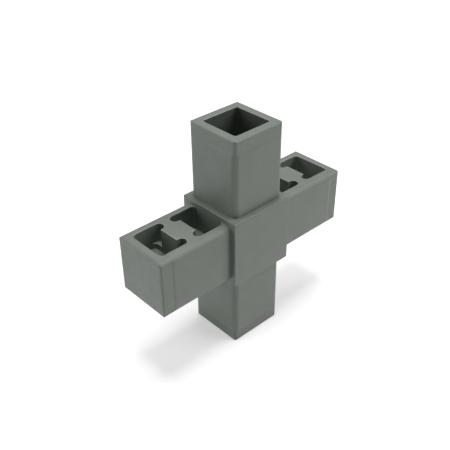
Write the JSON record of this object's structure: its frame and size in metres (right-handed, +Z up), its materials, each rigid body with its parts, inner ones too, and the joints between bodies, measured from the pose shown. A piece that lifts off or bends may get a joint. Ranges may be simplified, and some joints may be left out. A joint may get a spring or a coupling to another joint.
{
  "type": "cross connector",
  "caption": "Moulded plastic cross that joins square tubes in one plane: the legs plug into the tube ends, which seat flush on a cubic hub.",
  "frame": {"origin": "centre of the hub, where the axes of the legs cross", "axes": "+Z up along the cored legs, +X along the closed legs with pockets, +Y across the cross's plane"},
  "size_m": [0.0826, 0.0254, 0.0804],
  "materials": {
    "moulded_plastic": "fine moulded satin, glass-filled nylon grey"
  },
  "bodies": {
    "root": {"connector": "moulded_plastic"}
  },
  "joints": []
}
